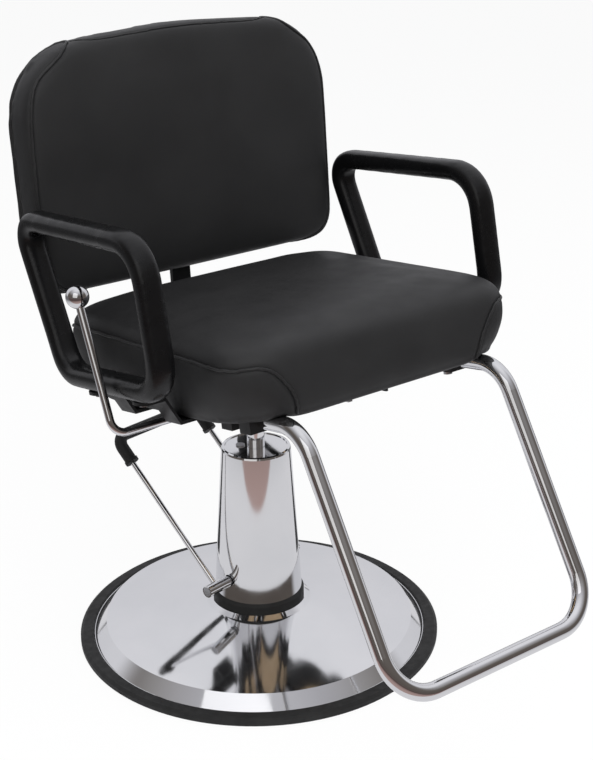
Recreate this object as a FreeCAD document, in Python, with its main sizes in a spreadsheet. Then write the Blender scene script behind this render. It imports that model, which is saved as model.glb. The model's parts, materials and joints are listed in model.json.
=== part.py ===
import FreeCAD, Part
import math
import os
import Sketcher
from FreeCAD import Placement, Rotation, Vector

# All-purpose salon chair on a round base with a foot pump, a reclining back and a footrest.
# Millimetres and degrees. The chair faces -Y, +Z is up, the pump stands on the Z axis, the floor is Z = 0.

doc = FreeCAD.newDocument("salon_chair")

# Driving sizes, one row each in the sheet.
SIZES = [
    # Base
    ("base_radius", 305),
    ("trim_width", 24),
    ("trim_height", 14),
    ("trim_lip", 3),
    ("trim_wall", 10),
    ("disc_thickness", 6),
    ("cover_sheet", 2),
    ("crease_inset", 45),
    ("crease_height", 32),
    ("boss_radius", 80),
    ("boss_height", 66),
    ("boss_spread", 8),
    ("boss_step", 6),
    # Pump
    ("housing_radius", 46),
    ("flange_radius", 62),
    ("flange_thickness", 14),
    ("pump_top", 335),
    ("piston_radius", 22),
    ("piston_height", 18),
    ("piston_rest", 197),
    ("ring_depth", 3),
    ("ring_height", 4),
    ("bore_floor", 135),
    ("bush_height", 24),
    ("ram_radius", 14.5),
    ("ram_below_frame", 23),
    ("slide_clearance", 0.05),
    ("cap_thickness", 5),
    ("cap_play", 0.5),
    ("sleeve_foot_radius", 73.5),
    ("sleeve_top_radius", 57.5),
    ("sleeve_sheet", 1.5),
    ("sleeve_lip", 6),
    ("sleeve_round", 4),
    ("seal_radius", 77),
    ("seal_height", 18),
    ("seal_lap", 6),
    ("seal_slope", 5),
    ("seal_play", 0.5),
    ("pump_bolt_radius", 5),
    ("pump_bolt_circle", 54),
    ("pump_bolt_recess", 2),
    ("cap_screw_radius", 5),
    ("cap_screw_head", 2),
    # Pedal
    ("pump_turn", 10),
    ("axle_height", 118),
    ("axle_radius", 8),
    ("axle_play", 0.1),
    ("window_play", 2),
    ("hub_radius", 10),
    ("hub_length", 46),
    ("far_hub_length", 18),
    ("hub_gap", 3),
    ("pedal_rod_radius", 4.5),
    ("pedal_near", 100),
    ("pedal_far", 85),
    ("pedal_reach", 308),
    ("pedal_rise", 41),
    ("pedal_bend", 22),
    ("grip_radius", 10.5),
    ("grip_leg", 52),
    ("grip_collar", 1.5),
    ("grip_collar_length", 6),
    # Seat frame
    ("seat_pitch", 10.5),
    ("frame_height", 481),
    ("board_half_width", 212),
    ("board_front", 300),
    ("board_rear", 26),
    ("board_thickness", 12),
    ("board_corner", 40),
    ("strap_width", 40),
    ("strap_thickness", 5),
    ("front_strap_at", 168),
    ("rear_strap_at", 45),
    ("strap_knee", 264),
    ("strap_tip_inset", 6),
    ("strap_shoulder_gap", 4),
    ("tray_half_width", 115),
    ("tray_front", 190),
    ("tray_rear", 70),
    ("tray_sheet", 4),
    ("tray_depth", 39),
    ("ear_rear", 152),
    ("hub_plate_half_width", 58),
    ("hub_plate_half_length", 65),
    ("hub_plate_thickness", 8),
    ("socket_radius", 30),
    ("socket_drop", 76),
    ("frame_bolt_radius", 4),
    ("frame_bolt_head", 5),
    ("frame_bolt_inset", 23),
    ("bolt_depth", 9),
    ("screw_head", 4),
    ("screw_margin", 6),
    ("arm_bolt_length", 28),
    # Arms
    ("arm_gap", 21),
    ("arm_width", 41),
    ("arm_thickness", 32),
    ("arm_edge", 11),
    ("arm_foot", 40),
    ("arm_front_top", 243),
    ("arm_front_foot", 251),
    ("arm_rear_top", 138),
    ("arm_rear_foot", 48),
    ("arm_front_height", 279),
    ("arm_rear_height", 307),
    ("arm_toe_in", 1.2),
    ("arm_corner", 60),
    ("arm_front_corner", 74),
    ("arm_tight_corner", 46),
    ("arm_hole_round", 2),
    # Footrest
    ("tube_radius", 12.5),
    ("tube_wall", 2),
    ("footrest_half_width", 190),
    ("footrest_tail", 200),
    ("tube_let_in", 7.5),
    ("tube_groove_play", 0.5),
    ("footrest_knee", 368),
    ("footrest_toe", 512),
    ("footrest_drop", 372),
    ("footrest_top_bend", 60),
    ("footrest_bend", 68),
    ("clamp_half_width", 25),
    ("clamp_length", 26),
    ("clamp_floor", 3),
    ("front_clamp_at", 270),
    ("rear_clamp_at", 225),
    # Seat cushion
    ("seat_half_width", 268),
    ("seat_front", 350),
    ("seat_rear", 124),
    ("seat_thickness", 154),
    ("seat_wedge", 3.7),
    # Back and recline
    ("back_lean", 5.0),
    ("hinge_behind", 135),
    ("hinge_below", 28),
    ("pin_radius", 8),
    ("pivot_radius", 15),
    ("pivot_half_length", 105),
    ("pin_overhang", 4),
    ("washer_step", 2),
    ("bar_width", 36),
    ("bar_thickness", 8),
    ("bar_bend", 28),
    ("bar_rise", 248),
    ("bar_play", 1),
    ("bar_screw_room", 5),
    ("back_over_seat", 21),
    ("back_flare", 1),
    ("back_foot", 183),
    ("back_height", 400),
    ("back_arch", 18),
    ("back_arch_radius", 900),
    ("back_foot_corner", 40),
    ("back_top_corner", 122),
    ("back_board_thickness", 12),
    ("back_board_margin", 40),
    ("back_foam", 48),
    ("back_panel_depth", 21),
    ("back_crown", 10),
    ("back_shoulder", 18),
    ("crank_length", 32),
    ("crank_lag", 22.5),
    ("crank_pin_radius", 5),
    ("crank_side", 82),
    ("crank_plate", 8),
    ("crank_reach", 8),
    ("crank_eye_radius", 11),
    ("crank_pin_length", 18),
    ("lock_radius", 11),
    ("lock_front", 103),
    ("lock_rear", 45),
    ("lock_rod_radius", 6),
    ("rod_in_lock", 40),
    ("rod_end_room", 4),
    ("fork_play", 0.4),
    ("fork_wall", 4),
    ("fork_half_width", 7),
    ("fork_half_length", 13),
    ("hanger_half_width", 17),
    ("hanger_thickness", 8),
    ("hanger_below", 18),
    ("front_hanger_at", 12),
    ("rear_hanger_at", 20),
    ("release_radius", 3.5),
    ("release_length", 35),
    ("release_room", 16),
    ("release_gap", 0.3),
    # Recline lever
    ("lever_radius", 6),
    ("lever_gap", 13),
    ("lever_at", 128),
    ("lever_below", 9),
    ("lever_lean", 12.5),
    ("lever_length", 195),
    ("lever_bend", 22),
    ("lever_play", 0.1),
    ("lever_block_wall", 8),
    ("lever_bush_inset", 10),
    ("lever_bush_width", 10),
    ("lever_support_gap", 14),
    ("lever_support_width", 6),
    ("lever_guide_width", 12),
    ("lever_guide_at", 160),
    ("lever_past_crank", 24),
    ("collar_wall", 2),
    ("collar_length", 20),
    ("knob_radius", 17),
    ("knob_seat", 9),
    ("finger_width", 8),
    ("finger_thickness", 12),
    ("finger_below", 7),
]

sheet = doc.addObject("Spreadsheet::Sheet", "sizes")
for row, (name, number) in enumerate(SIZES, start=1):
    sheet.set("A%d" % row, name)
    sheet.set("B%d" % row, str(number))
    sheet.setAlias("B%d" % row, name)
doc.recompute()


class Size:
    """A number that keeps the sheet formula it was worked out from."""

    def __init__(self, number, formula):
        self.number = float(number)
        self.formula = formula

    def __float__(self):
        return self.number

    def joined(self, other, sign, number):
        return Size(number, "(%s %s %s)" % (self.formula, sign, as_size(other).formula))

    def __add__(self, other):
        return self.joined(other, "+", self.number + float(other))

    def __sub__(self, other):
        return self.joined(other, "-", self.number - float(other))

    def __mul__(self, other):
        return self.joined(other, "*", self.number * float(other))

    def __truediv__(self, other):
        return self.joined(other, "/", self.number / float(other))

    def __neg__(self):
        return Size(-self.number, "(0 - %s)" % self.formula)


def as_size(thing):
    """Turns a plain number into a Size, so both can be mixed in a formula."""
    if isinstance(thing, Size):
        return thing
    return Size(thing, repr(float(thing)))


def size(name):
    """The driving size with this name."""
    return Size(sheet.get(name), "sizes." + name)


def num(name):
    """The number in the sheet under this name, for shapes drawn point by point."""
    return float(sheet.get(name))


X_AXIS = Vector(1, 0, 0)
Y_AXIS = Vector(0, 1, 0)
Z_AXIS = Vector(0, 0, 1)

# Places: the floor, the pitched seat frame, the leaning back at its hinge, the turned pump.
FLOOR = Placement()
SEAT = Placement(Vector(0, 0, num("frame_height")), Rotation(X_AXIS, -num("seat_pitch")))
HINGE_POINT = SEAT.multVec(Vector(0, num("hinge_behind"), -num("hinge_below")))
BACK = Placement(HINGE_POINT, Rotation(X_AXIS, -num("back_lean")))
PUMP = Placement(Vector(0, 0, num("axle_height")), Rotation(Z_AXIS, num("pump_turn")))

# Sizes that follow from others: the arms keep clear of the seat, the lever of the arm, the ram ends in the hub.
crease_radius = size("base_radius") - size("crease_inset")
arm_inner = size("seat_half_width") + size("arm_gap")
lever_side = arm_inner + size("arm_width") + size("lever_gap")
ram_top = size("frame_height") - size("ram_below_frame")
socket_foot = size("frame_height") - size("socket_drop")
back_half = num("seat_half_width") + num("back_over_seat")

nodes = []


def node(feature, label):
    """Names a finished piece and keeps it for the export."""
    feature.Label = label
    nodes.append(feature)
    return feature


def bind(feature, prop, value):
    """Ties one property of a feature to the sheet."""
    value = as_size(value)
    setattr(feature, prop, value.number)
    if "sizes." in value.formula:
        feature.setExpression(prop, value.formula)


def block(place, x0, x1, y0, y1, z0, z1):
    """A box between two corners in the given place."""
    x0, x1, y0, y1, z0, z1 = [as_size(v) for v in (x0, x1, y0, y1, z0, z1)]
    box = doc.addObject("Part::Box", "block")
    bind(box, "Length", x1 - x0)
    bind(box, "Width", y1 - y0)
    bind(box, "Height", z1 - z0)
    box.Placement = place.multiply(Placement(Vector(x0.number, y0.number, z0.number), Rotation()))
    return box


def rod(place, radius, start, along, length):
    """A round bar from a start point along a direction in the given place."""
    bar = doc.addObject("Part::Cylinder", "rod")
    bind(bar, "Radius", radius)
    bind(bar, "Height", length)
    start = Vector(*[float(v) for v in start])
    bar.Placement = place.multiply(Placement(start, Rotation(Z_AXIS, along)))
    return bar


def fused(pieces):
    """One feature from several."""
    if len(pieces) == 1:
        return pieces[0]
    fuse = doc.addObject("Part::MultiFuse", "fused")
    fuse.Shapes = pieces
    return fuse


def cut(base, tools):
    """The base with the tools taken away."""
    result = doc.addObject("Part::Cut", "cut")
    result.Base = base
    result.Tool = fused(tools)
    return result


def outline(body, plane, corners, name):
    """A closed sketch of straight lines, every corner held by two sizes."""
    sketch = body.newObject("Sketcher::SketchObject", name)
    roles = [f for f in body.Origin.OriginFeatures if f.Role == plane]
    sketch.AttachmentSupport = (roles[0], [""])
    sketch.MapMode = "FlatFace"
    corners = [(as_size(u), as_size(v)) for u, v in corners]
    count = len(corners)
    for i in range(count):
        u0, v0 = corners[i]
        u1, v1 = corners[(i + 1) % count]
        start = Vector(u0.number, v0.number, 0)
        end = Vector(u1.number, v1.number, 0)
        sketch.addGeometry(Part.LineSegment(start, end), False)
    for i in range(count):
        sketch.addConstraint(Sketcher.Constraint("Coincident", i, 2, (i + 1) % count, 1))
    for i, (u, v) in enumerate(corners):
        for kind, value in (("DistanceX", u), ("DistanceY", v)):
            place = sketch.addConstraint(Sketcher.Constraint(kind, -1, 1, i, 1, value.number))
            if "sizes." in value.formula:
                sketch.setExpression("Constraints[%d]" % place, value.formula)
    return sketch


def turned(place, corners):
    """A body turned about its own Z axis from radius and height corners."""
    body = doc.addObject("PartDesign::Body", "turned")
    sketch = outline(body, "XZ_Plane", corners, "turned_outline")
    spin = body.newObject("PartDesign::Revolution", "turn")
    spin.Profile = sketch
    spin.ReferenceAxis = (sketch, ["V_Axis"])
    spin.Angle = 360
    body.Placement = place
    return body


def padded(place, plane, corners, depth):
    """A body drawn on one of its own planes and thickened evenly to both sides."""
    body = doc.addObject("PartDesign::Body", "padded")
    sketch = outline(body, plane, corners, "padded_outline")
    pad = body.newObject("PartDesign::Pad", "pad")
    pad.Profile = sketch
    pad.Midplane = True
    bind(pad, "Length", depth)
    body.Placement = place
    return body


def rounded(body, radius, picks):
    """Rounds the edges of a body that the pick function accepts."""
    doc.recompute()
    tip = body.Tip
    names = []
    for i, edge in enumerate(tip.Shape.Edges, start=1):
        if picks(edge):
            names.append("Edge%d" % i)
    fillet = body.newObject("PartDesign::Fillet", "round")
    fillet.Base = (tip, names)
    bind(fillet, "Radius", radius)
    return body


def middle(edge):
    """The middle point of an edge."""
    return edge.valueAt((edge.FirstParameter + edge.LastParameter) / 2)


def bent_path(points, radii):
    """A wire of straight runs with an arc of the given radius at each inner point."""
    edges = []
    last = points[0]
    for i in range(1, len(points) - 1):
        before = (points[i - 1] - points[i]).normalize()
        after = (points[i + 1] - points[i]).normalize()
        half = before.getAngle(after) / 2
        inset = radii[i - 1] / math.tan(half)
        start = points[i] + before * inset
        end = points[i] + after * inset
        inward = (before + after).normalize()
        apex = points[i] + inward * (radii[i - 1] / math.sin(half) - radii[i - 1])
        edges.append(Part.makeLine(last, start))
        edges.append(Part.Arc(start, apex, end).toShape())
        last = end
    edges.append(Part.makeLine(last, points[-1]))
    return Part.Wire(edges)


def swept(points, radii, radius):
    """A round bar bent along a path."""
    path = bent_path(points, radii)
    ring = Part.Wire(Part.makeCircle(radius, points[0], points[1] - points[0]))
    return path.makePipeShell([ring], True, True)


def drawn(shape, place):
    """A feature that holds a shape drawn point by point, set in its place."""
    feature = doc.addObject("Part::Feature", "drawn")
    feature.Shape = shape
    feature.Placement = place
    return feature


def rounded_loop(corners):
    """A closed flat wire through corners given as point and radius."""
    count = len(corners)
    arcs = []
    for i in range(count):
        here, radius = corners[i]
        before = (corners[i - 1][0] - here).normalize()
        after = (corners[(i + 1) % count][0] - here).normalize()
        half = before.getAngle(after) / 2
        inset = radius / math.tan(half)
        inward = (before + after).normalize()
        apex = here + inward * (radius / math.sin(half) - radius)
        arcs.append((here + before * inset, apex, here + after * inset))
    edges = []
    for i in range(count):
        start, apex, end = arcs[i]
        edges.append(Part.Arc(start, apex, end).toShape())
        edges.append(Part.makeLine(end, arcs[(i + 1) % count][0]))
    return Part.Wire(edges)


# Base: a flat steel disc, the bright pressed cover over it and the rubber trim that holds both edges.
disc_foot = size("trim_lip")
disc_top = disc_foot + size("disc_thickness")
stack_radius = size("base_radius") - size("trim_wall")
cover_top = disc_top + size("cover_sheet")
trim_inner = size("base_radius") - size("trim_width")
cover_shoulder = trim_inner - 1

trim = turned(FLOOR, [
    (trim_inner + 4, 0), (size("base_radius") - 3, 0), (size("base_radius"), 3),
    (size("base_radius"), size("trim_height") - 4), (size("base_radius") - 5, size("trim_height")),
    (trim_inner + 3, size("trim_height")), (trim_inner, cover_top),
    (stack_radius, cover_top), (stack_radius, disc_foot), (trim_inner + 4, disc_foot)])
node(trim, "base_trim")

bolt_points = []
for i in range(4):
    angle = math.radians(45 + 90 * i)
    bolt_points.append((num("pump_bolt_circle") * math.cos(angle), num("pump_bolt_circle") * math.sin(angle)))
bolt_seat = disc_foot + 1
flange_top = disc_top + size("flange_thickness")
pump_bolt_heads = []
pump_bolt_shanks = []
for x, y in bolt_points:
    head_length = size("disc_thickness") - size("pump_bolt_recess")
    pump_bolt_heads.append(rod(FLOOR, size("pump_bolt_radius") * 1.6, (x, y, bolt_seat), Z_AXIS, head_length))
    pump_bolt_shanks.append(rod(FLOOR, size("pump_bolt_radius"), (x, y, bolt_seat), Z_AXIS,
                                flange_top - bolt_seat))
pump_bolts = fused(pump_bolt_heads + pump_bolt_shanks)

disc_blank = rod(FLOOR, stack_radius, (0, 0, disc_foot), Z_AXIS, size("disc_thickness"))
bolt_wells = []
for x, y in bolt_points:
    bolt_wells.append(rod(FLOOR, size("pump_bolt_radius") * 1.6, (x, y, disc_foot), Z_AXIS,
                          bolt_seat - disc_foot))
node(cut(disc_blank, [pump_bolts] + bolt_wells), "base_disc")

sheet_thickness = size("cover_sheet")
cover = turned(FLOOR, [
    (stack_radius, disc_top), (stack_radius, cover_top), (cover_shoulder, cover_top),
    (crease_radius, size("crease_height")),
    (size("boss_radius") + size("boss_spread"), size("boss_height") - size("boss_step")),
    (size("boss_radius"), size("boss_height")), (size("flange_radius") + 1, size("boss_height")),
    (size("flange_radius") + 1, size("boss_height") - sheet_thickness),
    (size("boss_radius") - 1, size("boss_height") - sheet_thickness),
    (size("boss_radius") + size("boss_spread") - sheet_thickness / 2,
     size("boss_height") - size("boss_step") - sheet_thickness),
    (crease_radius - sheet_thickness / 2, size("crease_height") - sheet_thickness),
    (cover_shoulder - sheet_thickness, disc_top)])
node(cover, "base_cover")

# Pump: housing with its bore, guide bush, cap, bright sleeve and the rubber ring the sleeve stands on.
bore = size("piston_radius") + size("slide_clearance")
housing = turned(FLOOR, [
    (0, disc_top), (size("flange_radius"), disc_top), (size("flange_radius"), flange_top),
    (size("housing_radius"), flange_top), (size("housing_radius"), size("pump_top")), (bore, size("pump_top")),
    (bore, size("bore_floor")), (0, size("bore_floor"))])
hub_start = size("sleeve_foot_radius") + size("hub_gap")
axle_near = hub_start + size("hub_length")
axle_span = axle_near + hub_start + size("far_hub_length")
axle_hole = rod(PUMP, size("axle_radius") + size("axle_play"), (-axle_near, 0, 0), X_AXIS, axle_span)
node(cut(housing, [axle_hole, pump_bolts]), "pump_housing")
node(pump_bolts, "pump_bolts")

bush_foot = size("pump_top") - size("bush_height")
ram_hole = size("ram_radius") + size("slide_clearance")
node(turned(FLOOR, [(ram_hole, bush_foot), (bore, bush_foot), (bore, size("pump_top")),
                    (ram_hole, size("pump_top"))]), "ram_bush")

seal_top = size("boss_height") + size("seal_height")
cap_radius = size("sleeve_top_radius") - size("sleeve_sheet")
cap_hole = size("ram_radius") + size("cap_play")
cap_top = size("pump_top") + size("cap_thickness")
sleeve_top = cap_top + size("sleeve_sheet")
cap_blank = turned(FLOOR, [(cap_hole, size("pump_top")), (cap_radius, size("pump_top")), (cap_radius, cap_top),
                           (cap_hole, cap_top)])
cap_screw_place = (-cap_radius * 0.35, cap_radius * 0.3)
cap_screw_head = rod(FLOOR, size("cap_screw_radius") * 1.5, cap_screw_place + (cap_top,), Z_AXIS,
                     size("cap_screw_head"))
cap_screw_shank = rod(FLOOR, size("cap_screw_radius"), cap_screw_place + (size("pump_top"),), Z_AXIS,
                      size("cap_thickness"))
node(cut(cap_blank, [cap_screw_shank]), "pump_cap")
node(fused([cap_screw_head, cap_screw_shank]), "cap_screw")

sleeve_blank = turned(FLOOR, [
    (size("sleeve_foot_radius") - size("sleeve_sheet"), seal_top), (size("sleeve_foot_radius"), seal_top),
    (size("sleeve_top_radius"), sleeve_top - size("sleeve_round")),
    (size("sleeve_top_radius") - size("sleeve_round") * 0.3, sleeve_top - size("sleeve_round") * 0.3),
    (size("sleeve_top_radius") - size("sleeve_round"), sleeve_top),
    (size("sleeve_top_radius") - size("sleeve_lip"), sleeve_top),
    (size("sleeve_top_radius") - size("sleeve_lip"), cap_top), (cap_radius, cap_top)])
sleeve_window = rod(PUMP, size("axle_radius") + size("window_play"), (-axle_near, 0, 0), X_AXIS, axle_span)
node(cut(sleeve_blank, [sleeve_window]), "pump_sleeve")

seal_inner = size("sleeve_foot_radius") - size("seal_lap")
node(turned(FLOOR, [
    (seal_inner, size("boss_height")), (size("seal_radius"), size("boss_height")),
    (size("seal_radius"), seal_top - size("seal_slope")),
    (size("sleeve_foot_radius") + size("seal_play"), seal_top), (seal_inner, seal_top)]),
     "sleeve_seal")

# Lift: the piston only slides, the ram turns on it with the seat.
piston_top = size("piston_rest") + size("piston_height")
piston_blank = rod(FLOOR, size("piston_radius"), (0, 0, size("piston_rest")), Z_AXIS, size("piston_height"))
ring_foot = size("piston_rest") + size("piston_height") / 3
ring_inner = size("piston_radius") - size("ring_depth")
ring_top = ring_foot + size("ring_height")
ring = turned(FLOOR, [(ring_inner, ring_foot), (size("piston_radius"), ring_foot),
                      (size("piston_radius"), ring_top), (ring_inner, ring_top)])
node(cut(piston_blank, [ring]), "piston")
node(ring, "piston_ring")
node(rod(FLOOR, size("ram_radius"), (0, 0, piston_top), Z_AXIS, ram_top - piston_top), "ram")

# Pedal: axle through the pump, a clamped hub at each end, one bent rod and its rubber grip.
pedal_up = Vector(0, math.cos(math.radians(num("pedal_rise"))), math.sin(math.radians(num("pedal_rise"))))
node(rod(PUMP, size("axle_radius"), (-axle_near, 0, 0), X_AXIS, axle_span), "pedal_axle")
for start, length, label in ((-axle_near, size("hub_length"), "pedal_hub_left"),
                             (hub_start, size("far_hub_length"), "pedal_hub_right")):
    hub_blank = rod(PUMP, size("hub_radius"), (start, 0, 0), X_AXIS, length)
    hub_hole = rod(PUMP, size("axle_radius"), (start, 0, 0), X_AXIS, length)
    node(cut(hub_blank, [hub_hole]), label)
near_leg = Vector(-num("pedal_near"), 0, 0)
far_leg = Vector(num("pedal_far"), 0, 0)
pedal_end = pedal_up * num("pedal_reach")
pedal_path = [near_leg, pedal_end + near_leg, pedal_end + far_leg, far_leg]
pedal_bends = [num("pedal_bend")] * 2
pedal_wire = drawn(swept(pedal_path, pedal_bends, num("pedal_rod_radius")), PUMP)
hub_spaces = [rod(PUMP, size("hub_radius"), (-axle_near, 0, 0), X_AXIS, axle_span)]
node(cut(pedal_wire, hub_spaces), "pedal_rod")
grip_start = pedal_up * (num("pedal_reach") - num("grip_leg"))
grip_path = [grip_start + near_leg, pedal_path[1], pedal_path[2], grip_start + far_leg]
grip_outer = swept(grip_path, pedal_bends, num("grip_radius"))
for leg in (near_leg, far_leg):
    collar_radius = num("grip_radius") + num("grip_collar")
    collar = Part.makeCylinder(collar_radius, num("grip_collar_length"), grip_start + leg, pedal_up)
    grip_outer = grip_outer.fuse(collar)
node(drawn(grip_outer.cut(swept(pedal_path, pedal_bends, num("pedal_rod_radius"))), PUMP), "pedal_grip")

# Seat frame: board, two straps that carry the arms, the tray under them and the hub that takes the ram.
board_blank = padded(SEAT, "XY_Plane", [
    (-size("board_half_width"), -size("board_front")), (size("board_half_width"), -size("board_front")),
    (size("board_half_width"), size("board_rear")), (-size("board_half_width"), size("board_rear"))],
    size("board_thickness"))
board_blank.Placement = SEAT.multiply(Placement(Vector(0, 0, num("board_thickness") / 2), Rotation()))
rounded(board_blank, size("board_corner"), lambda edge: abs(edge.tangentAt(edge.FirstParameter).z) > 0.99)

frame_bolt_points = []
for y in (-num("front_strap_at"), -num("rear_strap_at")):
    for x in (-1, 1):
        frame_bolt_points.append((x * (num("tray_half_width") - num("frame_bolt_inset")), y))
tray_top = -size("strap_thickness")
tray_foot = tray_top - size("tray_sheet")
frame_bolt_shanks = []
frame_bolt_heads = []
for x, y in frame_bolt_points:
    shank = size("bolt_depth") - tray_foot
    frame_bolt_shanks.append(rod(SEAT, size("frame_bolt_radius"), (x, y, tray_foot), Z_AXIS, shank))
    head_foot = tray_foot - size("frame_bolt_head")
    frame_bolt_heads.append(rod(SEAT, size("frame_bolt_radius") * 1.7, (x, y, head_foot), Z_AXIS,
                                size("frame_bolt_head")))
frame_bolts = fused(frame_bolt_shanks + frame_bolt_heads)

clamp_spots = []
clamp_screw_spots = []
for side in (-1, 1):
    for y in (-num("front_clamp_at"), -num("rear_clamp_at")):
        clamp_spots.append((side * num("footrest_half_width"), y))
        for step in (-1, 1):
            x = side * num("footrest_half_width") + step * (num("tube_radius") + num("clamp_half_width")) / 2
            if abs(x) < num("board_half_width") - num("screw_margin"):
                clamp_screw_spots.append((x, y))
tube_level = size("tube_let_in") - size("tube_radius")
level = tube_level.number
half = num("footrest_half_width")
foot_path = [Vector(-half, -num("footrest_tail"), level), Vector(-half, -num("footrest_knee"), level),
             Vector(-half, -num("footrest_toe"), -num("footrest_drop")),
             Vector(half, -num("footrest_toe"), -num("footrest_drop")),
             Vector(half, -num("footrest_knee"), level), Vector(half, -num("footrest_tail"), level)]
foot_bends = [num("footrest_top_bend"), num("footrest_bend"), num("footrest_bend"), num("footrest_top_bend")]
foot_groove = drawn(swept(foot_path, foot_bends, num("tube_radius") + num("tube_groove_play")), SEAT)
clamp_foot = tube_level - size("tube_radius") - size("clamp_floor")
clamp_screws = []
for x, y in clamp_screw_spots:
    clamp_screws.append(rod(SEAT, size("frame_bolt_radius"), (x, y, clamp_foot), Z_AXIS,
                            size("bolt_depth") - clamp_foot))
    screw_foot = clamp_foot - size("screw_head")
    clamp_screws.append(rod(SEAT, size("frame_bolt_radius") * 1.7, (x, y, screw_foot), Z_AXIS, size("screw_head")))
clamp_screw_set = fused(clamp_screws)
node(cut(board_blank, [frame_bolts, clamp_screw_set, foot_groove]), "seat_board")
node(frame_bolts, "frame_bolts")

arm_bolt_x = arm_inner.number + num("arm_width") / 2
strap_foot = size("arm_foot") - size("strap_thickness")
strap_tip = arm_inner + size("arm_width") - size("strap_tip_inset")
strap_shoulder = arm_inner - size("strap_shoulder_gap")
knee_out = size("strap_knee") + size("strap_thickness") * 0.45
shoulder_out = strap_shoulder + size("strap_thickness") * 0.45
arm_bolt_heads = []
arm_bolt_shanks = []
straps = []
for y in (-num("front_strap_at"), -num("rear_strap_at")):
    place = SEAT.multiply(Placement(Vector(0, y, 0), Rotation()))
    strap = padded(place, "XZ_Plane", [
        (-strap_tip, strap_foot), (-strap_tip, size("arm_foot")), (-strap_shoulder, size("arm_foot")),
        (-size("strap_knee"), 0), (size("strap_knee"), 0), (strap_shoulder, size("arm_foot")),
        (strap_tip, size("arm_foot")), (strap_tip, strap_foot), (shoulder_out, strap_foot),
        (knee_out, tray_top), (-knee_out, tray_top), (-shoulder_out, strap_foot)], size("strap_width"))
    tip_x = strap_tip.number
    rounded(strap, size("strap_width") * 0.45, lambda edge: edge.Length < 1.01 * num("strap_thickness")
            and abs(abs(middle(edge).x) - tip_x) < 0.01)
    straps.append(strap)
    for x in (-arm_bolt_x, arm_bolt_x):
        arm_bolt_shanks.append(rod(SEAT, size("frame_bolt_radius"), (x, y, strap_foot), Z_AXIS,
                                  size("arm_bolt_length")))
        head_foot = strap_foot - size("screw_head")
        arm_bolt_heads.append(rod(SEAT, size("frame_bolt_radius") * 1.7, (x, y, head_foot), Z_AXIS,
                                  size("screw_head")))
arm_bolts = fused(arm_bolt_heads + arm_bolt_shanks)
node(cut(straps[0], [frame_bolts, arm_bolts]), "arm_strap_front")
node(cut(straps[1], [frame_bolts, arm_bolts]), "arm_strap_rear")
node(arm_bolts, "arm_bolts")

hinge_y = size("hinge_behind")
hinge_z = -size("hinge_below")
lever_y = -size("lever_at")
lever_z = -size("lever_below")
tray_half = size("tray_half_width")
tray_inner = tray_half - size("tray_sheet")
ear_foot = tray_foot - size("tray_depth")
tray_plate = block(SEAT, -tray_half, tray_half, -size("tray_front"), size("tray_rear"), tray_foot, tray_top)
tray_cheeks = []
for x0, x1 in ((-tray_half, -tray_inner), (tray_inner, tray_half)):
    tray_cheeks.append(block(SEAT, x0, x1, -size("tray_front"), size("ear_rear"), ear_foot, tray_foot))
hub_plate_foot = tray_foot - size("hub_plate_thickness")
hub_bolt_shanks = []
hub_bolt_heads = []
for x in (-0.78, 0.78):
    for y in (-0.78, 0.78):
        spot = (x * num("hub_plate_half_width"), y * num("hub_plate_half_length"))
        hub_bolt_shanks.append(rod(SEAT, size("frame_bolt_radius"), spot + (hub_plate_foot,), Z_AXIS,
                                   size("hub_plate_thickness") + size("tray_sheet")))
        head_foot = hub_plate_foot - size("frame_bolt_head")
        hub_bolt_heads.append(rod(SEAT, size("frame_bolt_radius") * 1.7, spot + (head_foot,), Z_AXIS,
                                  size("frame_bolt_head")))
hub_bolts = fused(hub_bolt_shanks + hub_bolt_heads)
pin_hole = rod(SEAT, size("pin_radius"), (-tray_half, hinge_y, hinge_z), X_AXIS, tray_half * 2)
lever_block_half = size("lever_radius") + size("lever_block_wall")
window_half = lever_block_half + size("tray_sheet")
lever_window = block(SEAT, -tray_inner, tray_inner, lever_y - window_half, lever_y + window_half,
                     tray_foot, tray_top)
notch_half = size("lever_radius") + size("tray_sheet")
lever_notch = block(SEAT, -tray_half, -tray_inner, lever_y - notch_half, lever_y + notch_half,
                    lever_z - notch_half, tray_top)
tray = fused([tray_plate] + tray_cheeks)
node(cut(tray, [frame_bolts, hub_bolts, pin_hole, lever_window, lever_notch]), "seat_frame")

hub_plate = block(SEAT, -size("hub_plate_half_width"), size("hub_plate_half_width"),
                  -size("hub_plate_half_length"), size("hub_plate_half_length"), hub_plate_foot, tray_foot)
socket = rod(FLOOR, size("socket_radius"), (0, 0, socket_foot), Z_AXIS,
             size("frame_height") - socket_foot)
above_plate = block(SEAT, -tray_half, tray_half, -tray_half, tray_half, tray_foot,
                    tray_foot + size("frame_height") - socket_foot)
ram_space = rod(FLOOR, size("ram_radius"), (0, 0, socket_foot), Z_AXIS, ram_top - socket_foot)
node(cut(hub_plate, [socket, hub_bolts]), "hub_plate")
node(cut(socket, [above_plate, ram_space]), "swivel_hub")
node(hub_bolts, "hub_bolts")

# Arms: rounded loops, drawn as an outer and an inner four-sided outline set one thickness apart.
arm_corners = [
    Vector(-num("arm_front_foot"), num("arm_foot")),
    Vector(-num("arm_front_top"), num("arm_front_height")),
    Vector(num("arm_rear_top"), num("arm_rear_height")),
    Vector(num("arm_rear_foot"), num("arm_foot")),
]
arm_radii = [num("arm_corner"), num("arm_front_corner"), num("arm_tight_corner"), num("arm_corner")]


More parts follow.
